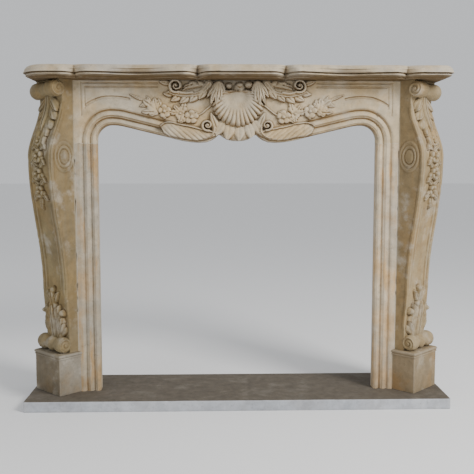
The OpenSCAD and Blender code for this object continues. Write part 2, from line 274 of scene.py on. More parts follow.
# Wear of the stone in millimetres: how big and how deep its hollows are, broad and fine, and its chips
BROAD, BROAD_DEPTH = 70.0, 0.5
FINE, FINE_DEPTH = 11.0, 0.22
CHIP, CHIP_DEPTH, CHIP_RARITY = 17.0, 3.0, 0.3
# An edge that stands this proud of its surroundings chips the most
CHIP_EDGE = 1.2
SHARP = math.radians(42)


class Piece:
    """Collects the closed shells of one piece of stone."""

    def __init__(self):
        self.points, self.faces, self.proud, self.caps = [], [], [], []
        self.count = 0

    def loft(self, grid, wear=1.0, reach=2, mirror=False):
        """Adds a closed shell from a grid of (rings, points in a ring, 3), capped at both ends.

        wear is how uneven and chipped it is, and reach how many points away an edge is felt.
        """
        grid = np.array(grid, float)
        if mirror:
            grid[..., 0] *= -1
        n, m = grid.shape[:2]
        across = np.roll(grid, -1, axis=1) - np.roll(grid, 1, axis=1)
        along = np.concatenate([grid[1:2] - grid[:1], grid[2:] - grid[:-2], grid[-1:] - grid[-2:-1]])
        normal = np.cross(across, along)
        normal /= np.maximum(np.linalg.norm(normal, axis=-1, keepdims=True), 1e-9)
        flat = grid.reshape(-1, 3)
        i = (np.arange(n - 1)[:, None] * m + np.arange(m)[None, :]).ravel()
        j = (np.arange(n - 1)[:, None] * m + (np.arange(m)[None, :] + 1) % m).ravel()
        quads = np.stack([i, j, j + m, i + m], axis=1)
        caps = [np.arange(m)[::-1], (n - 1) * m + np.arange(m)]
        centre = flat.mean(axis=0)
        a, b, c, d = (flat[quads[:, k]] - centre for k in range(4))
        volume = np.einsum("ij,ij", a, np.cross(b, c)) + np.einsum("ij,ij", a, np.cross(c, d))
        if volume < 0:
            quads, caps, normal = quads[:, ::-1], [cap[::-1] for cap in caps], -normal
        blur = sum(np.roll(grid, k, axis=1) for k in range(-reach, reach + 1)) / (2 * reach + 1)
        padded = np.concatenate([blur[:1]] * reach + [blur] + [blur[-1:]] * reach)
        blur = sum(padded[k : k + n] for k in range(2 * reach + 1)) / (2 * reach + 1)
        proud = np.einsum("ijk,ijk->ij", grid - blur, normal)
        chance = np.clip(noise(grid, CHIP, 3) - CHIP_RARITY, 0, 1)
        chips = CHIP_DEPTH * np.clip(proud / CHIP_EDGE, 0, 1) * chance
        uneven = BROAD_DEPTH * noise(grid, BROAD, 1) + FINE_DEPTH * noise(grid, FINE, 2)
        depth = wear * (uneven - chips)
        # the rings at the ends lie in the caps' planes and stay there
        depth[[0, -1]] = 0
        proud[[0, -1]] = 0
        self.points.append((grid + normal * depth[..., None]).reshape(-1, 3))
        self.proud.append(np.clip(proud, -3, 3).ravel())
        self.faces += (quads + self.count).tolist() + [(cap + self.count).tolist() for cap in caps]
        self.caps += [len(self.faces) - 2, len(self.faces) - 1]
        self.count += n * m

    def finish(self, name, material, slot, *nodes):
        """Makes the Blender object that stands for these CAD nodes."""
        mesh = bpy.data.meshes.new(name)
        mesh.from_pydata((np.concatenate(self.points) * MM).tolist(), [], self.faces)
        proud = mesh.attributes.new("proud", "FLOAT", "POINT")
        proud.data.foreach_set("value", np.concatenate(self.proud).astype(np.float32))
        mesh.shade_smooth()
        mesh.set_sharp_from_angle(angle=SHARP)
        for cap in self.caps:
            mesh.polygons[cap].use_smooth = False
        mesh.materials.append(material)
        obj = bpy.data.objects.new(name, mesh)
        bpy.context.collection.objects.link(obj)
        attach(obj, "root")
        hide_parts(*nodes)
        return obj


def outline(corners, counts, radius):
    """A closed outline through corners, its edge k split into counts[k] parts.

    Sharp corners are eased by their radius where it isn't 0.
    """
    points = []
    corners = [np.array(c, float) for c in corners]
    for k, here in enumerate(corners):
        there = corners[(k + 1) % len(corners)]
        past = corners[k - 1]
        r = radius[k]
        if r:
            enter = here + (past - here) / np.linalg.norm(past - here) * r
            leave = here + (there - here) / np.linalg.norm(there - here) * r
            points += [enter, 0.25 * enter + 0.5 * here + 0.25 * leave, leave]
        else:
            points += [here, here, here]
        start = points[-1]
        ahead = radius[(k + 1) % len(corners)]
        end = there + (here - there) / np.linalg.norm(here - there) * ahead if ahead else there
        points += [start + (end - start) * i / counts[k] for i in range(1, counts[k])]
    keep = [p for i, p in enumerate(points) if np.linalg.norm(p - points[i - 1]) > 1e-6]
    return np.array(keep)


def at_height(ring, z):
    """A flat outline as points at height z."""
    return coords(*ring.T, z)


def ladder(start, end, pitch):
    """Even places from start to end, about pitch apart."""
    return np.linspace(start, end, max(2, int(round((end - start) / pitch)) + 1))


# -------- hearth slab

# Edge of the slab, drawn for a slab SLAB_DRAWN_H high: [height, distance in from its side]; then the
# parts that each side of its plan is split into, and how far its corners are eased
SLAB_EDGE = [[0, 1.5], [1.5, 0.3], [4, 0], [12, 0], [20, 0], [28, 0], [34, 0], [37.5, 0.4], [39.3, 1.4],
             [40, 3]]
SLAB_DRAWN_H = 40
SLAB_PARTS = (160, 36, 160, 36)
SLAB_CORNER = 6


def make_slab(material):
    """Flat slab with worn, slightly uneven arrises."""
    left, right, front, back = slab_low[0], slab_high[0], slab_low[1], slab_high[1]
    corners = [(left, front), (right, front), (right, back), (left, back)]
    rings = []
    for z, inset in SLAB_EDGE:
        inner = [(x - math.copysign(inset, x), y - math.copysign(inset, y)) for x, y in corners]
        rings.append(at_height(outline(inner, SLAB_PARTS, [SLAB_CORNER] * 4), z * slab_top / SLAB_DRAWN_H))
    piece = Piece()
    piece.loft(rings, wear=0.8)
    return piece.finish("hearth_slab_stone", material, "hearth_stone", "hearth_slab")


# -------- plinths

# Section of a plinth: [share of the way from foot to cap, how far it stands out]
PLINTH_BODY = [[0, -1.5], [0.01, 0], [1, 0]]
# and of its cap: [height below the top, how far it stands out]
PLINTH_CAP = [[21, 0], [20.4, 2.4], [19, 3.1], [17, 2.6], [16, 1.2], [14.5, 0.8], [13.4, 1.6], [12, 3.4],
              [9, 4.2], [6, 4.0], [4, 2.8], [2.6, 0.6], [1.2, -3.2], [0, -8]]
CAP_H = PLINTH_CAP[0][0]
# The sides of its plan: how many parts each has, and how far the corner before each is eased
PLINTH_PARTS = (40, 56, 24, 24, 6, 10, 2)
PLINTH_CORNERS = (0, 2.5, 2.5, 0, 0, 0, 0)


def leg_plan(width, out):
    """Corners of a leg's plan: round the block turned 45 degrees, its return and the jamb."""
    half = width / 2 + out
    c = 1 / ROOT2
    left = (leg_x + c * (-half + out), leg_y + c * (-half - out))
    right = (leg_x + c * (half + out), leg_y + c * (half - out))
    beside = (return_x + out, leg_x + leg_y + ROOT2 * half - return_x - out)
    inner = (leg_x - ROOT2 * half - LEG_REACH, front_y)
    return [inner, left, right, beside, (return_x + out, wall_y), (jamb_out, wall_y), (jamb_out, front_y)]


def make_plinth(side, material):
    """Plinth block with a moulded cap. side is -1 for the left one and 1 for the right."""
    body_h = plinth_top - slab_top - CAP_H
    shares = [0, 0.012, 0.03] + list(ladder(0.07, 1, 0.045))
    levels = [(slab_top + body_h * share, float(eased(PLINTH_BODY, share))) for share in shares]
    levels += [(plinth_top - drop, out) for drop, out in PLINTH_CAP]
    plans = [outline(leg_plan(PLINTH_W, out), PLINTH_PARTS, PLINTH_CORNERS) for _, out in levels]
    piece = Piece()
    piece.loft([at_height(plan, z) for plan, (z, _) in zip(plans, levels)], wear=1.0, mirror=side < 0)
    return piece.finish(f"plinth_{SIDES[side]}_stone", material, "plinth_stone", f"plinth_{SIDES[side]}")


# -------- consoles

# A console and its carving are drawn for a height of DRAWN_H
DRAWN_H = 1024.0
# Front: [height above the plinth, distance in front of the plinth's face]
CONSOLE_FRONT = [[0, -52], [56, -50], [240, -38], [735, 14], [945, -43], [1024, -30]]
# Rim along both edges of the face, and the sunk panel between them with its bead: the heights between
# which each fades in and out, distance from the middle, half width, and rise or depth
RIM_ENDS, RIM_AT, RIM_HALF, RIM_RISE = (205, 240, 925, 950), 68, 6.5, 4.0
PANEL_ENDS, PANEL_EDGE, PANEL_DEPTH = (232, 246, 540, 560), (43, 47), 3.4
BEAD_AT, BEAD_HALF, BEAD_RISE = 50, 3.5, 2.2
# Lip along the front edge of a side, its heights the console's own
LIP_ENDS, LIP_BACK, LIP_HALF, LIP_RISE = (64, 110, 900, 945), 7, 6, 2.6
# The face's side arrises are worn, and each side's points start ARRIS_GAP behind the face
ARRIS_W, ARRIS_WORN, ARRIS_GAP = 2.2, 1.6, 1.5
LEVEL_PITCH, FACE_PITCH, SIDE_POINTS = 2.5, 2.2, 34
# Leaves point along these angles
DOWN, UP = -90, 90
# Flowers of the drop: [height, radius]
DROP = [[800, 20], [744, 28], [678, 27], [612, 24]]
# Oval boss on each side: its middle, how narrow it is, and its size; then its two rings, as radius,
# half width and rise, and its button
BOSS_Y, BOSS_Z, BOSS_OVAL, BOSS_SCALE = 45.0, 741.0, 0.72, 1.06
BOSS_RINGS = ((49, 7.5, 3.0), (34, 7, 3.6))
BUTTON_R, BUTTON_RISE = 26, 4.6
# Rolls at top and foot: radius, distance behind the plinth's face, and [share across, share of the
# radius]; then how much lower the top one's outer end hangs
VOLUTE_R, VOLUTE_Y = 31.0, 28.0
FOOT_R, FOOT_Y = 30.0, 33.0
VOLUTE_ROLL = [[0, 0.88], [0.06, 1], [0.27, 1], [0.44, 0.82], [0.56, 0.86], [0.74, 1.03], [0.93, 1.02],
               [1, 0.88]]
FOOT_ROLL = [[0, 0.86], [0.07, 1], [0.2, 1], [0.34, 0.76], [0.5, 0.99], [0.66, 0.76], [0.8, 1], [0.93, 1],
             [1, 0.86]]
DROOP = 7.0
ROLL_POINTS, END_RINGS = 72, 20
SCROLL_TURNS, SCROLL_RISE = 1.9, 3.6


def volute_leaf(x, y):
    """Leaf under the volute: feathered lobes down both sides of a broad tongue."""
    stamps = [leaf(x, y, (0, 984), DOWN, 208, 128, 18, lobes=5, bare=0.7)]
    for k in range(5):
        for side in (-1, 1):
            root, angle = (side * 8, 958 - 32 * k), DOWN + side * (50 - 4 * k)
            length, height = 70 - 5 * k, 21 - 1.2 * k
            stamps.append(leaf(x, y, root, angle, length, 30, height, bend=-0.3 * side, bare=0.6, rib=0.2))
    stamps.append(leaf(x, y, (0, 972), DOWN, 140, 40, 26, bare=0.6))
    return stamps


def flower_drop(x, y):
    """Drop of flowers, each over two pairs of leaves, with a last leaf below."""
    stamps = []
    for k, (top, r) in enumerate(DROP):
        for side in (-1, 1):
            low, high = (side * 4, top + 4), (side * 3, top + 22)
            stamps.append(leaf(x, y, low, DOWN + side * 52, 58, 26, 12, lobes=2, bend=-0.3 * side, bare=0.6))
            stamps.append(leaf(x, y, high, UP - side * 56, 42, 20, 10, bare=0.6))
        stamps.append(flower(x, y, (3 * (-1) ** k, top), r, 23, turn=0.5 + k))
    stamps.append(leaf(x, y, (0, 596), DOWN, 52, 26, 11, lobes=2))
    return stamps


def foot_leaf(x, y):
    """Foot: a bud over a broad acanthus leaf whose side lobes curl out."""
    stamps = [leaf(x, y, (0, 24), UP, 176, 140, 19, lobes=4, bare=0.75)]
    for side in (-1, 1):
        for k in range(4):
            root, angle = (side * (12 + 2 * k), 30 + 27 * k), UP - side * (34 - 3 * k)
            look = {"lobes": 2, "bend": 0.4 * side, "bare": 0.6, "rib": 0.2}
            stamps.append(leaf(x, y, root, angle, 96 - 8 * k, 32, 21, **look))
        stamps.append(ball(x, y, (side * 58, 152), 12, 24))
        stamps.append(leaf(x, y, (side * 4, 186), UP - side * 34, 58, 24, 14, bend=-0.3 * side, bare=0.6))
    stamps.append(leaf(x, y, (0, 26), UP, 158, 42, 26, bare=0.7))
    stamps.append(leaf(x, y, (0, 176), UP, 62, 34, 19, bare=0.7, rib=0.2))
    stamps.append(ball(x, y, (0, 236), 13, 18))
    return stamps


def console_face(u, z):
    """Relief of a console's face: u across it from its middle, z up it as drawn."""
    wobble = 1.6 * wobbled(u, z, 26, 5)
    x, y = u + wobble, z + wobble
    off = np.abs(x)
    panel = between(z, PANEL_ENDS)
    relief = between(z, RIM_ENDS) * ridge(off - RIM_AT, RIM_HALF, RIM_RISE, 3)
    relief = relief - PANEL_DEPTH * panel * (1 - step(off, *PANEL_EDGE))
    relief = relief + panel * ridge(off - BEAD_AT, BEAD_HALF, BEAD_RISE)
    return over(relief, *volute_leaf(x, y), *flower_drop(x, y), *foot_leaf(x, y))


def console_side(y, z, front):
    """Relief of a console's side: an oval boss and a lip along the front edge."""
    q = np.hypot((y - BOSS_Y) / BOSS_OVAL, z - BOSS_Z * console_h / DRAWN_H) / BOSS_SCALE
    boss = sum(ridge(q - r, half, rise) for r, half, rise in BOSS_RINGS)
    boss = boss + ridge(q, BUTTON_R, BUTTON_RISE, 2.4) - 0.8 * np.exp(-(((q - BUTTON_R - 1) / 2.5) ** 2))
    lip = ridge(y + front - LIP_BACK, LIP_HALF, LIP_RISE, 3) * between(z, LIP_ENDS)
    return boss + np.where(q > BOSS_RINGS[0][0] + 3, lip, 0)


def scroll_end(rho, phi):
    """Relief of a roll's end: a ridge winding in to an eye."""
    winding = np.cos(2 * np.pi * (SCROLL_TURNS * rho + phi / (2 * np.pi)))
    eye = ridge(rho, 0.26, 1.3 * SCROLL_RISE)
    return SCROLL_RISE * (0.5 + 0.5 * winding) * step(rho, 0.16, 0.3) + eye


def roll(y, z, r, shape, hand, droop=0.0):
    """A roll across a console's face, as rings of points in the leg's own axes.

    Its ends are carved as volutes that wind towards hand, and its outer end hangs lower by droop.
    """
    phi = np.linspace(0, 2 * np.pi, ROLL_POINTS, endpoint=False)
    half = CONSOLE_W / 2
    rho = np.linspace(0.03, 0.97, END_RINGS)

    def ring(x, reach, low):
        """A ring of the roll at x, reach from its axis, which lies low below z."""
        return coords(x, y - reach * np.cos(phi), z - low + reach * np.sin(phi))

    def end(side, shares):
        """Rings over a carved end, at shares of its radius."""
        bulge = [scroll_end(q, hand * phi * side) - 2.5 * step(q, 0.9, 1) for q in shares]
        low = droop if side > 0 else 0.0
        return [ring(side * (half + out), r * shape[0][1] * q, low) for out, q in zip(bulge, shares)]

    middle = []
    for t in ladder(0, 1, 0.0125):
        # flutes round the roll's waist and near its ends
        fluted = np.clip(1 - abs(t - 0.5) / 0.2, 0, 1) + np.clip(1 - abs(abs(t - 0.5) - 0.38) / 0.1, 0, 1)
        reach = r * eased(shape, t) * (1 - 0.012 * fluted * np.cos(12 * phi))
        middle.append(ring(-half + CONSOLE_W * t, reach, droop * step(t, 0.35, 0.85)))
    return np.array(end(-1, rho) + middle + end(1, rho[::-1]))


def from_leg(points):
    """Leg axes (x across the face, -y out of it, z above the plinth) to the model's own."""
    c = 1 / ROOT2
    x, y, z = points[..., 0], points[..., 1], points[..., 2]
    return coords(leg_x + c * (x - y), leg_y + c * (x + y), plinth_top + z)


def make_console(side, material):
    """S-shaped leg: rings round its carved face, its sides and its return, with a roll at each end."""
    half = CONSOLE_W / 2
    z = ladder(0, console_h, LEVEL_PITCH)
    drawn_z = z * DRAWN_H / console_h
    front = eased(CONSOLE_FRONT, drawn_z)
    across = ladder(-half, half, FACE_PITCH)
    u_grid, z_grid = np.meshgrid(across, drawn_z)
    arris = step(half - np.abs(u_grid), 0, ARRIS_W)
    face = console_face(u_grid, z_grid) * arris - ARRIS_WORN * (1 - arris)
    # how far back from the face's plane each side runs, and its points' shares of the way there
    inner_end = LEG_REACH * ROOT2 + half
    outer_end = ROOT2 * (leg_x + ROOT2 * half - return_x) - half
    share = np.linspace(0, 1, SIDE_POINTS) ** 1.15

    def side_points(hand, end, k):
        """Points along one side at level k, from the face back."""
        start = -front[k] + ARRIS_GAP
        back = start + (end - start) * share
        lift = console_side(back, z[k], front[k]) * step(end - back, 0, 3)
        return coords(hand * (half + lift), back, z[k])

    rings = []
    back = np.array([(return_x, wall_y), (jamb_out, wall_y)])
    for k, height in enumerate(z):
        carved = coords(across, -front[k] - face[k], height)
        inner, outer = side_points(-1, inner_end, k)[::-1], side_points(1, outer_end, k)
        leg = from_leg(np.concatenate([inner, carved, outer]))
        rings.append(np.concatenate([leg, at_height(back, plinth_top + height)]))
    volute = roll(VOLUTE_Y, console_h - VOLUTE_R - 1, VOLUTE_R, VOLUTE_ROLL, 1, DROOP)
    foot = roll(FOOT_Y, FOOT_R, FOOT_R, FOOT_ROLL, -1)
    piece = Piece()
    piece.loft(rings, wear=0.9, mirror=side < 0)
    piece.loft(from_leg(volute), wear=0.7, mirror=side < 0)
    piece.loft(from_leg(foot), wear=0.7, mirror=side < 0)
    return piece.finish(f"console_{SIDES[side]}_stone", material, "leg_stone", f"console_{SIDES[side]}")


# -------- jambs and frieze

# Moulding round the opening: [distance from the edge, depth below the front]
MOULDING = [[0, 14], [4, 8], [11, 5], [18, 8], [24, 14], [30, 6], [38, 1.5], [46, 4], [52, 9], [60, 1.5],
            [64, 0]]
MOULDING_W = 64.0

# Lower edge of the carved apron, from the end of the moulding to the middle
APRON = [[262, 25], [236, 18], [209, 12], [180, 7.5], [147, 5], [118, 7], [97, 15], [82, 25], [72, 35],
         [66, 34], [54, 25], [40, 17], [20, 12.5], [0, 11.5]]
# Opening's head: a tight round corner, then the crown's arc down to the apron
CORNER_R, CROWN_R = 58.0, 180.0
corner_c = np.array([open_x - CORNER_R, 13.0])
crown_c = corner_c + [0, CORNER_R - CROWN_R]
apron = np.array(APRON[0], float)
to_apron = apron - crown_c
bearing = math.atan2(to_apron[1], to_apron[0])
crown_end = math.degrees(bearing - math.acos(CROWN_R / np.linalg.norm(to_apron)))
# The jambs' top edge is worn back by SEAM_WORN over the last SEAM_WORN_H below the seam
SEAM_WORN, SEAM_WORN_H = 1.4, 1.2


def head_at(s, n=26):
    """The opening's edge, moved s into the stone: half of it, from the seam to the apron."""
    slope = math.radians(crown_end)
    return np.vstack([
        [[open_x + s, -2.0]],
        arc(corner_c, CORNER_R + s, 0, 90, n),
        arc(crown_c, CROWN_R + s, 90, crown_end, n // 2)[1:],
        [apron + s * np.array([math.cos(slope), math.sin(slope)])],
    ])


def make_jamb(side, material):
    """Moulded upright, its section drawn up from the slab to the seam."""
    s = ladder(0, MOULDING_W, 1.0)
    face = coords(open_x + s, front_y + eased(MOULDING, s))
    band = coords(ladder(open_x + MOULDING_W + 2, jamb_out - 2, 3), front_y)
    side_y = ladder(front_y, front_y + stone_t, 8)
    outer = coords(jamb_out, side_y)
    inner = coords(open_x, side_y[::-1])[:-2]
    section = np.concatenate([face, band, outer, inner])
    from_middle = section - section.mean(axis=0)
    worn = section - SEAM_WORN * np.sign(from_middle) * (np.abs(from_middle) > 20)
    heights = [slab_top, *ladder(slab_top, seam_z, 7)[1:-1], seam_z - SEAM_WORN_H]
    rings = [at_height(section, z) for z in heights] + [at_height(worn, seam_z)]
    piece = Piece()
    piece.loft(rings, wear=1.0, mirror=side < 0)
    return piece.finish(f"jamb_{SIDES[side]}_stone", material, "jamb_stone", f"jamb_{SIDES[side]}")


# Shell over the middle: its hinge's height, its ribs and the angle that they fan over, and how far it
# reaches at each bearing from straight down
HINGE, SHELL_RIBS, SHELL_FAN = 195.0, 23, 196
SHELL_REACH = [[0, 137], [28, 128], [45, 121], [60, 113], [72, 97], [84, 72], [93, 44], [99, 8], [180, 0]]
# Petals below it: [root, angle, length, width]
PETALS = [[(-52, 86), -118, 64, 44], [(60, 86), -60, 64, 44], [(-25, 78), -103, 68, 50],
          [(38, 78), -75, 66, 50], [(6, 68), -90, 60, 46]]
# Leaf folded over its corner: [root, angle, length, width, height] of each rib
SHELL_LEAF = [[(74, 232), -114, 52, 24, 31], [(74, 232), -96, 76, 27, 34], [(74, 232), -83, 92, 28, 36],
              [(74, 232), -70, 94, 27, 35], [(74, 232), -54, 76, 26, 31]]
# Knobs over its hinge: [place, radius, height]
KNOBS = [[(6, 206), 22, 17], [(7, frieze_h - 18), 13, 26], [(-34, frieze_h - 22), 12, 30],
         [(42, frieze_h - 17), 15, 31]]

# Gadrooned leaf that sweeps out beside the shell: its upper edge, its lower lip, and its lobes' slant
GADROON_TOP = [[84, 40], [108, 48], [133, 54], [175, 64], [216, 72], [250, 78], [274, 76], [290, 66]]
GADROON_LIP = [[84, 30], [118, 14], [150, 9], [190, 13], [225, 21], [256, 26], [278, 38], [290, 62]]
GADROON_PITCH, GADROON_LEAN = 22.0, 1.07

# Feathers behind the upper scroll: [root, angle, length, width, height]
FEATHERS = [[(120, 204), -64, 46, 36, 21], [(152, 186), -56, 40, 32, 18], [(184, 178), -46, 42, 30, 17],
            [(214, 178), -34, 40, 26, 15], [(238, 186), -6, 42, 24, 13], [(252, 222), 10, 44, 22, 11]]
UPPER_EYE, LOWER_EYE = (231.0, frieze_h - 21), (113, 69)
# Garland: its stem, its leaves and the slim sprays that end it, as [root, angle, length, width]
STEM = [[98, 144], [142, 110], [180, 104], [240, 116], [300, 128], [336, 150]]
GARLAND = [[(188, 102), 152, 42, 24], [(190, 98), -42, 34, 20], [(210, 112), 100, 46, 32],
           [(214, 112), 50, 42, 26], [(212, 112), -84, 36, 28], [(226, 112), 12, 38, 24],
           [(264, 112), -64, 26, 18], [(290, 134), 70, 34, 22], [(298, 120), -34, 36, 20],
           [(300, 124), 32, 68, 46], [(304, 120), 74, 52, 34], [(300, 118), -4, 62, 30]]
SPRAYS = [[(304, 136), 30, 56, 16], [(324, 150), 54, 34, 13], [(328, 146), -14, 42, 13],
          [(348, 160), 22, 60, 12], [(342, 152), -30, 28, 11]]

# Lines cut into the front: how far the arched one stands from the opening's edge, and how far the two
# straight ones stand in from the block's side, down from its top, and up from the seam where they end;
# these start STRAIGHT_START from the middle
ARCH_LINE, ARCH_W, ARCH_DEPTH = 103.0, 11, 5.0
STRAIGHT_LINES, STRAIGHT_W, STRAIGHT_DEPTH = ((28, 11, 106), (42, 25, 132)), 7, 2.8
STRAIGHT_START = 300
# The moulding dies out between these distances from the middle
MOULDING_FADE = (APRON[1][0], APRON[0][0])


def lower_edge(x):
    """Height of the frieze's lower edge above the seam."""
    x = np.abs(x)
    half = np.vstack([head_at(0, 60)[1:], APRON[1:]])[::-1]
    height = np.interp(x, half[:, 0], half[:, 1])
    return np.where(x >= open_x, 0.0, height)


def shell(x, y):
    """Scallop shell: narrow ribs fan down from a smooth hinge, each ending in a lobe that turns out."""
    d = np.hypot(x, y - HINGE)
    w = np.arctan2(x, HINGE - y)
    reach = np.interp(np.degrees(np.abs(w)), *np.array(SHELL_REACH).T)
    rib = np.abs(np.cos(np.pi * (w / math.radians(SHELL_FAN / (SHELL_RIBS - 1)))))
    q = d / np.maximum(reach * (0.93 + 0.07 * rib**0.5), 1)
    depth = step(d / np.maximum(reach, 1), 0.36, 0.7)
    dish = 12 + 21 * step(q, 0.12, 0.93) - 3.5 * np.exp(-(((q - 0.3) / 0.14) ** 2))
    flute = 1 - 0.27 * depth * (1 - rib**0.6)
    return dish * flute * round_off(np.clip(q, 0, 1), 12)


def gadroons(x, y):
    """A broad leaf of slanting rounded lobes, its upper edge rolled."""
    start, tip = GADROON_TOP[0][0], GADROON_TOP[-1][0]
    top = np.interp(x, *np.array(GADROON_TOP).T)
    lip = np.interp(x, *np.array(GADROON_LIP).T)
    inside = (x > start) & (x < tip) & (y < top) & (y > lip)
    lobe = np.abs(np.sin(np.pi * (x - GADROON_LEAN * (y - 40)) / GADROON_PITCH)) ** 0.6
    depth = np.clip((top - y) / 9, 0, 1)
    down = np.clip((y - lip) / 7, 0, 1)
    body = (13 + 7 * step(top - y, 0, 26)) * (0.8 + 0.2 * lobe * depth)
    return np.where(inside, body * round_off(1 - down, 2.5) * (0.75 + 0.25 * step(tip - x, 0, 40)), 0)


def upper_scroll(x, y):
    """Crescent leaf that carries the upper scroll, its lower edge lobed, with feathers behind it."""
    band = curve([[106, 222], [134, 192], [178, 180], [222, 180], [258, 192]])
    return [
        leaf(x, y, (112, 216), -12, 100, 54, 13, lobes=4, bare=0.8),
        leaf(x, y, (150, 226), -18, 60, 30, 14, lobes=2, bare=0.8),
        *leaves(x, y, FEATHERS, bend=0.3, bare=0.7, rib=0.2),
        ribbon(x, y, band, 36, 14, 19, flutes=3),
        ribbon(x, y, curve([[170, 190], [196, 186], [222, 190]]), 14, 12, 21),
        ribbon(x, y, spiral(UPPER_EYE, 27, 5, 250, 560), 14, 7, 23, fade=-0.1),
        ball(x, y, UPPER_EYE, 7, 25),
    ]


def lower_scroll(x, y):
    """Lower scroll with its stalk beside the shell, and the gadrooned leaf that edges the apron."""
    stalk = curve([[88, 60], [92, 40], [108, 26], [128, 20]])
    return [
        leaf(x, y, (74, 36), 74, 86, 34, 17, bend=-0.25, bare=0.7, rib=0.25),
        gadroons(x, y),
        ribbon(x, y, curve(GADROON_TOP), 9, 6, 19),
        ribbon(x, y, spiral(LOWER_EYE, 21, 5, -100, 460), 12, 7, 25),
        ribbon(x, y, stalk, 14, 9, 23, flutes=2),
        ball(x, y, LOWER_EYE, 8, 28),
    ]


def garland(x, y):
    """Flowers and leaves on a stem that runs from the shell's leaf out to the end sprays."""
    return [
        ribbon(x, y, curve(STEM), 7, 5, 7),
        *leaves(x, y, GARLAND, height=11, lobes=2, bend=0.2, bare=0.6),
        flower(x, y, (174, 100), 28, 17, turn=0.4),
        flower(x, y, (216, 112), 19, 12, petals=4, turn=0.8),
        flower(x, y, (274, 120), 27, 16, turn=0.2),
        ball(x, y, (197, 88), 7, 9),
        *leaves(x, y, SPRAYS, height=8, bend=0.3),
    ]


def frieze_front(x, y):
    """Relief of the frieze's front: x across, y above the seam; positive stands out of the stone."""
    off = np.abs(x)
    s = nearest(off, y, head_at(0, 40))[0]
    relief = -np.where(s < MOULDING_W, eased(MOULDING, s), 0) * step(off, *MOULDING_FADE)
    round_corner = arc(corner_c, CORNER_R + ARCH_LINE, 54, 90, 20)
    over_crown = arc(crown_c, CROWN_R + ARCH_LINE, 90, crown_end, 20)[1:]
    arch = np.vstack([round_corner, over_crown])
    relief = relief - ridge(nearest(off, y, arch)[0], ARCH_W / 2, ARCH_DEPTH)
    for from_side, from_top, end in STRAIGHT_LINES:
        side, top = jamb_out - from_side, frieze_h - from_top
        line = np.array([[STRAIGHT_START, top], [side, top], [side, end]])
        relief = relief - ridge(nearest(off, y, line)[0], STRAIGHT_W / 2, STRAIGHT_DEPTH)
    u, v = x + 2.2 * wobbled(x, y, 34, 7), y + 2.2 * wobbled(x, y, 34, 8)
    for across in (u, -u):
        relief = over(relief, *upper_scroll(across, v), *lower_scroll(across, v), *garland(across, v))
    # a swelling behind the petals, then the shell, its corner leaves, and the knobs over its hinge
    relief = over(relief, ball(u, v, (3, 66), 56, 11))
    relief = over(relief, *leaves(u, v, PETALS, height=17, bare=0.75, rib=0.1))
    relief = over(relief, shell(u - 1, v))
    for across in (u, 4 - u):
        relief = over(relief, *leaves(across, v, SHELL_LEAF, bend=-0.1, bare=0.9, rib=0.16))
    relief = over(relief, *(ball(u, v, *knob) for knob in KNOBS))
    # the top arris is eased
    return relief + 1.5 * round_off(np.clip(1 - (frieze_h - y) / 2.5, 0, 1)) - 1.5


def make_frieze(material):
    """One stone: lofted along its length, each ring running up the carved front and down the back."""
    # stretches of half the length, each with its pitch: finest where the opening's corner turns
    stops = [0, apron[0], 470, 526, open_x, jamb_out]
    pitches = (2.0, 2.4, 1.6, 0.6, 2.2)
    stretches = [ladder(a, b, pitch)[:-1] for a, b, pitch in zip(stops, stops[1:], pitches)]
    half = np.concatenate(stretches + [[jamb_out]])
    half = np.sort(np.append(half, open_x + 0.05))
    x = np.concatenate([-half[::-1], half[1:]])
    low = lower_edge(x)
    share = np.linspace(0, 1, 112)
    y = low[:, None] + (frieze_h - low[:, None]) * share[None, :]
    x_grid = np.repeat(x[:, None], len(share), axis=1)
    relief = frieze_front(x_grid, y)
    front = coords(x_grid, front_y - relief, seam_z + y)
    depths = front_y + stone_t * np.array([1.0, 0.94, 0.7, 0.5, 0.35])
    top = coords(x, depths[0], frieze_top)[:, None]
    under = np.stack([coords(x, d, seam_z + low) for d in depths], axis=1)
    piece = Piece()
    piece.loft(np.concatenate([front, top, under], axis=1), wear=0.9)
    return piece.finish("frieze_stone", material, "frieze_stone", "frieze")


# -------- shelf

# Plan: round front corners, and lobes that meet in cusps CUSP_IN and CUSP_OUT from the middle lobe's
# own middle, LOBE_SHIFT right of the shelf's, with a hollow between the two cusps of a side that
# stops HOLLOW_STOP short of them; the ends stand END_LESS further back than the middle
CORNER_LEFT, CORNER_RIGHT = 110.0, 40.0
LOBE_SHIFT = 13.0
CUSP_IN, CUSP_OUT, CUSP_W = 161.0, 609.0, 52.0
CUSP_DEPTH, OUTER_DEPTH = 68.0, 44.0
SIDE_HOLLOW, HOLLOW_STOP, END_LESS = 40.0, 38.0, 12.0
# Above the arris the front loses up to TOP_FLAT of its lobes
ARRIS, TOP_FLAT = 0.43, 0.65
# Section of the moulded edge: [share of the height, distance back from the arris]
EDGE = [[0, 30], [0.09, 25], [0.15, 13], [0.24, 8], [0.33, 10], [0.385, 14], [0.405, 12], [0.43, 0],
        [0.7, 5], [0.88, 12], [1, 20]]
TOP_EASE = 1.6
# Pitch of the points along the front, at the cusps and elsewhere
CUSP_PITCH, FRONT_PITCH = 4, 9


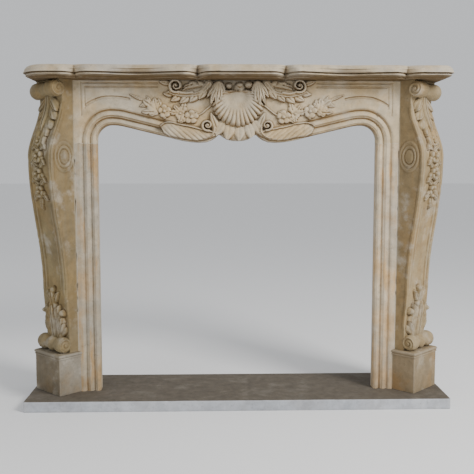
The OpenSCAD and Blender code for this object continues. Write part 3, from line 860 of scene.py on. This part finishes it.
def shelf_front(x, share=0.0):
    """Front of the shelf at a share of its height: lobes that meet in cusps, straighter above the arris."""
    a = np.abs(x - LOBE_SHIFT)
    wave = np.zeros(a.shape)
    for at, depth in ((CUSP_IN, CUSP_DEPTH), (CUSP_OUT, OUTER_DEPTH)):
        wave = wave + depth * np.clip(1 - np.abs(a - at) / CUSP_W, 0, 1) ** 2
    half = (CUSP_OUT - CUSP_IN) / 2 - HOLLOW_STOP
    t = np.clip((a - (CUSP_IN + CUSP_OUT) / 2) / half, -1, 1)
    wave = wave + SIDE_HOLLOW * (1 + np.cos(np.pi * t)) / 2
    keep = 1 - TOP_FLAT * max(0.0, share - ARRIS) / (1 - ARRIS)
    return shelf_low[1] + END_LESS * np.minimum(1, (x / CUSP_OUT) ** 2) + keep * wave


def make_shelf(material):
    """Moulded shelf: its plan, set back at each height as the edge's section says."""
    left_end, right_end = shelf_half - CORNER_LEFT, shelf_half - CORNER_RIGHT
    cusps = [LOBE_SHIFT + at for at in (-CUSP_OUT, -CUSP_IN, CUSP_IN, CUSP_OUT)]
    stops = [-left_end] + [at + d for at in cusps for d in (-CUSP_W, 0, CUSP_W)] + [right_end]
    pitches = [CUSP_PITCH if b - a <= CUSP_W + 1 else FRONT_PITCH for a, b in zip(stops, stops[1:])]
    stretches = [ladder(a, b, pitch)[:-1] for a, b, pitch in zip(stops, stops[1:], pitches)]
    x = np.concatenate(stretches + [[right_end]])
    turn = float(shelf_front(np.array(shelf_half)))
    left_y = np.linspace(wall_y, turn + CORNER_LEFT, 22)
    right_y = np.linspace(turn + CORNER_RIGHT, wall_y, 26)
    # heights as shares: closest at the recess under the arris
    recess = [0.385, 0.4, 0.41, 0.42, 0.43]
    shares = np.concatenate([ladder(0, 0.37, 0.025), recess, ladder(0.46, 0.95, 0.035), [0.975, 0.99, 1.0]])
    rings = []
    for t in shares:
        back = float(eased(EDGE, t)) + (TOP_EASE if t == 1.0 else 0.0)
        ring = np.concatenate([
            coords(-shelf_half + back, left_y),
            arc((-left_end, turn + CORNER_LEFT), CORNER_LEFT - back, 180, 270, 18)[1:-1],
            coords(x, shelf_front(x, t) + back),
            arc((right_end, turn + CORNER_RIGHT), CORNER_RIGHT - back, 270, 360, 10)[1:-1],
            coords(shelf_half - back, right_y),
        ])
        rings.append(at_height(ring, frieze_top + t * shelf_h))
    piece = Piece()
    piece.loft(rings, wear=1.0)
    return piece.finish("shelf_stone", material, "shelf_stone", "shelf")


# -------- stone

CHALK = (186, 180, 168)
# the colour of grime and painted shade in hollows
SOOT_AND_SHADE = (86, 66, 40)
PORE = (82, 66, 50)


def linear(r, g, b):
    """An everyday 0 to 255 colour as the shader wants it."""
    return tuple((c / 255) ** 2.2 for c in (r, g, b)) + (1.0,)


class Nodes:
    """Adds nodes to a material's tree. Each method but feed gives an output socket."""

    def __init__(self, tree):
        self.tree = tree
        self.place = self.add("TexCoord", {}, "Object")

    def feed(self, socket, value):
        """Links a socket to another, or sets it to a plain value."""
        if isinstance(value, bpy.types.NodeSocket):
            self.tree.links.new(value, socket)
        else:
            socket.default_value = value

    def add(self, kind, inputs, output=0, **settings):
        """A node with its settings and inputs."""
        made = self.tree.nodes.new("ShaderNode" + kind)
        for key, value in settings.items():
            setattr(made, key, value)
        for key, value in inputs.items():
            self.feed(made.inputs[key], value)
        return made.outputs[output]

    def axis(self, vector, index):
        """One axis of a vector: 0, 1 or 2 for x, y or z."""
        return self.add("SeparateXYZ", {"Vector": vector}, index)

    def spread(self, value, low, high, start=0.0, end=1.0, **settings):
        """The stretch of a value from low to high, spread from start to end."""
        ends = {"From Min": low, "From Max": high, "To Min": start, "To Max": end}
        return self.add("MapRange", {"Value": value, **ends}, **settings)

    def cloud(self, scale, low, high, stretch=(1, 1, 1)):
        """Soft clouds: 0 where their noise is under low, 1 where it is over high."""
        moved = self.add("Mapping", {"Vector": self.place, "Scale": stretch})
        noise_inputs = {"Vector": moved, "Scale": scale, "Detail": 6.0, "Roughness": 0.62}
        return self.spread(self.add("TexNoise", noise_inputs), low, high, interpolation_type="SMOOTHSTEP")

    def grain(self, scale, detail):
        """Plain noise for the bump."""
        return self.add("TexNoise", {"Vector": self.place, "Scale": scale, "Detail": detail})

    def math(self, operation, a, b=0.5):
        """a and b put together; b is left out where operation takes one value."""
        return self.add("Math", {0: a, 1: b}, operation=operation)

    def times(self, a, b):
        """a times b."""
        return self.math("MULTIPLY", a, b)

    def tint(self, share, a, b):
        """Colour a, turned to colour b by share."""
        return self.add("Mix", {0: share, 6: a, 7: b}, 2, data_type="RGBA")

    def shade(self, colour, value):
        """A colour made lighter or darker."""
        return self.add("HueSaturation", {"Color": colour, "Value": value})

    def upward(self):
        """How far a face is turned up, from -1 to 1."""
        return self.axis(self.add("TexCoord", {}, "Normal"), 2)

    def inward(self):
        """How a face is turned: -1 is straight to the middle and 1 straight away from it."""
        hand = self.math("SIGN", self.axis(self.place, 0))
        return self.times(hand, self.axis(self.add("TexCoord", {}, "Normal"), 0))


def stone_relief(nodes, pores):
    """Fine bump of grain and soft lumps, with the pores sunk in it."""
    height = nodes.math("ADD", nodes.times(nodes.grain(230.0, 4.0), 0.5), nodes.grain(45.0, 3.0))
    height = nodes.math("SUBTRACT", height, nodes.times(pores, 0.8))
    return nodes.add("Bump", {"Height": height, "Strength": 0.55, "Distance": 0.0016})


def stone(
    name, base, warm, cool, grime_and_shade=0.5, warmth=0.5, streaks=0.0, chalk=0.3, inner=None, top=None, under=None
):
    """Old limestone: clouds of warm and grey, streaks, pores, grime and painted shade in hollows, worn edges
    with a painted highlight.

    inner colours the faces turned to the middle, partly as the stone's own tone and partly as painted light
    and shade; top colours those turned up, and under paints shade on those turned down.
    """
    material = bpy.data.materials.new(name)
    material.use_nodes = True
    nodes = Nodes(material.node_tree)
    shader = material.node_tree.nodes["Principled BSDF"].inputs
    tint, times, cloud, spread = nodes.tint, nodes.times, nodes.cloud, nodes.spread
    # pale colours worn edges and their painted highlight
    pale = linear(*(0.55 * c + 84 for c in base))
    warm, cool = linear(*warm), linear(*cool)

    colour = linear(*base)
    # faces turned to the middle take the inner colour: partly the stone's own tone, partly painted light and
    # shade
    if inner:
        colour = tint(spread(nodes.inward(), -0.25, -0.6), colour, linear(*inner))
    colour = tint(times(cloud(3.2, 0.40, 0.62), 0.7), colour, cool)
    colour = tint(times(cloud(5.5, 0.46, 0.66), warmth), colour, warm)
    if streaks:
        colour = tint(times(cloud(9.0, 0.47, 0.68, (2.6, 2.6, 0.42)), streaks), colour, warm)
        colour = tint(times(cloud(13.0, 0.52, 0.7, (2.2, 2.2, 0.35)), 0.7 * streaks), colour, cool)
    if top:
        colour = tint(spread(nodes.upward(), 0.45, 0.8), colour, linear(*top))
    # painted shade: faces turned down are darkened
    if under:
        colour = tint(spread(nodes.upward(), -0.1, -0.75), colour, linear(*under))
    colour = tint(times(cloud(12.0, 0.5, 0.72), chalk), colour, linear(*CHALK))
    # lighter and darker patches, broad and small
    colour = nodes.shade(colour, spread(cloud(26.0, 0.3, 0.7), 0, 1, 0.86, 1.12))
    colour = nodes.shade(colour, spread(cloud(70.0, 0.54, 0.76), 0, 1, 1.03, 0.76))
    # hollows are darkened with grime and painted shade, in patches; worn edges are pale, partly as a painted
    # highlight
    proud = nodes.add("Attribute", {}, "Fac", attribute_name="proud")
    hollow = times(spread(proud, -0.1, -1.8), cloud(22.0, 0.2, 0.6))
    colour = tint(times(hollow, grime_and_shade), colour, linear(*SOOT_AND_SHADE))
    # proud edges turn pale: wear and a painted highlight
    colour = tint(times(spread(proud, 0.35, 1.6), 0.5), colour, pale)
    cells = nodes.add("TexVoronoi", {"Vector": nodes.place, "Scale": 150.0}, "Distance")
    pores = times(spread(cells, 0.22, 0.08), cloud(17.0, 0.5, 0.68))
    colour = tint(times(pores, 0.6), colour, linear(*PORE))

    nodes.feed(shader["Base Color"], colour)
    nodes.feed(shader["Roughness"], spread(cloud(40.0, 0.3, 0.7), 0, 1, 0.72, 0.92))
    nodes.feed(shader["Normal"], stone_relief(nodes, pores))
    shader["Specular IOR Level"].default_value = 0.3
    return material


def plain(name, colour, rough):
    """Smooth paint, for the floor."""
    material = bpy.data.materials.new(name)
    material.use_nodes = True
    shader = material.node_tree.nodes["Principled BSDF"].inputs
    shader["Base Color"].default_value = colour
    shader["Roughness"].default_value = rough
    return material


def plinth_stone(side, base, warm, cool, inner):
    """Brown stone of a plinth."""
    return stone(f"plinth_{SIDES[side]}_stone", base, warm, cool, warmth=0.6, chalk=0.4, inner=inner)


def leg_stone(side, base, warm, cool, inner):
    """Stained, streaked stone of a console, dark with grime and painted shade in its hollows."""
    name = f"leg_{SIDES[side]}_stone"
    return stone(name, base, warm, cool, grime_and_shade=0.8, streaks=0.4, chalk=0.5, inner=inner)


def jamb_stone(side, base, warm, cool, streaks):
    """Pale, streaked stone of a jamb."""
    return stone(f"jamb_{SIDES[side]}_stone", base, warm, cool, streaks=streaks)


# -------- build

hearth_look = stone(
    "hearth_stone", (178, 180, 184), (112, 92, 70), (160, 164, 170),
    grime_and_shade=0.3, warmth=0.15, chalk=0.1, top=(92, 85, 75),
)
# under: painted shade on the frieze's faces turned down
frieze_look = stone(
    "frieze_stone", (187, 169, 138), (180, 152, 106), (172, 163, 146),
    warmth=0.6, chalk=0.35, under=(120, 96, 62),
)
# under: painted shade on the shelf's faces turned down
shelf_look = stone(
    "shelf_stone", (178, 164, 140), (172, 146, 104), (162, 156, 146), grime_and_shade=0.3, under=(98, 80, 54)
)
# the left side's copies are darker than the right's: painted shade, as the light falls off to the left;
# inner colours are partly the stone's own and partly painted light and shade
plinth_looks = {
    -1: plinth_stone(-1, (118, 105, 82), (140, 114, 78), (108, 100, 86), inner=(146, 138, 124)),
    1: plinth_stone(1, (134, 118, 92), (152, 118, 74), (134, 120, 98), inner=(142, 124, 96)),
}
# the left console is darker than the right: painted shade, as the light falls off to the left
leg_looks = {
    -1: leg_stone(-1, (136, 121, 88), (132, 108, 68), (112, 100, 78), inner=(130, 114, 84)),
    1: leg_stone(1, (153, 136, 105), (148, 120, 80), (130, 114, 86), inner=(134, 116, 85)),
}
# the left jamb is darker than the right: painted shade, as the light falls off to the left
jamb_looks = {
    -1: jamb_stone(-1, (172, 159, 136), (168, 132, 82), (150, 144, 132), streaks=0.85),
    1: jamb_stone(1, (190, 174, 148), (186, 146, 90), (166, 156, 140), streaks=0.8),
}

make_slab(hearth_look)
for make, looks in ((make_plinth, plinth_looks), (make_console, leg_looks), (make_jamb, jamb_looks)):
    for side in SIDES:
        make(side, looks[side])
make_frieze(frieze_look)
make_shelf(shelf_look)


# -------- stage, light and camera

FLOOR_HALF = 40.0
# just under the slab, so that the two don't fight for the same plane
FLOOR_DROP = 0.0005
LAMPS_AIM = (0, 0, 0.7)


def aim(obj, target):
    """Turns a lamp's -Z axis to a point."""
    x, y, z = (t - o for t, o in zip(target, obj.location))
    obj.rotation_euler = (math.atan2(math.hypot(x, y), -z), 0, math.atan2(-x, y))


def lamp(name, place, size, watts, colour):
    """A square soft light turned to the surround."""
    data = bpy.data.lights.new(name, "AREA")
    data.size = size
    data.energy = watts
    data.color = colour
    obj = bpy.data.objects.new(name, data)
    bpy.context.collection.objects.link(obj)
    obj.location = place
    aim(obj, LAMPS_AIM)


corners = [(x * FLOOR_HALF, y * FLOOR_HALF, 0) for x, y in ((-1, -1), (1, -1), (1, 1), (-1, 1))]
floor_mesh = bpy.data.meshes.new("floor")
floor_mesh.from_pydata(corners, [], [(0, 1, 2, 3)])
floor_mesh.materials.append(plain("floor_paint", (0.86, 0.86, 0.86, 1), 0.9))
floor = bpy.data.objects.new("floor", floor_mesh)
floor.location.z = -FLOOR_DROP
bpy.context.collection.objects.link(floor)

lamp("key", (2.5, -2.5, 2.9), 1.3, 170, (1.0, 0.985, 0.96))
lamp("fill", (-3.0, -2.4, 1.8), 2.4, 14, (0.96, 0.98, 1.0))

world = bpy.data.worlds.new("studio")
bpy.context.scene.world = world
world.use_nodes = True
sky = world.node_tree.nodes["Background"].inputs
sky["Color"].default_value = (0.95, 0.97, 1.0, 1)
sky["Strength"].default_value = 0.7

# Camera where the photographer stood: place in metres, and how far it looks down and to the right
CAMERA_PLACE = (-0.0755, -2.8515, 0.9043)
LOOK_DOWN, LOOK_RIGHT = 0.0964, 0.0277
camera_data = bpy.data.cameras.new("camera")
camera_data.lens = 55.8
camera_data.sensor_width = 36.0
camera_data.shift_x = -0.0023
camera_data.shift_y = 0.0041
camera = bpy.data.objects.new("camera", camera_data)
camera.location = CAMERA_PLACE
camera.rotation_euler = (math.pi / 2 - LOOK_DOWN, 0, -LOOK_RIGHT)
bpy.context.collection.objects.link(camera)
bpy.context.scene.camera = camera
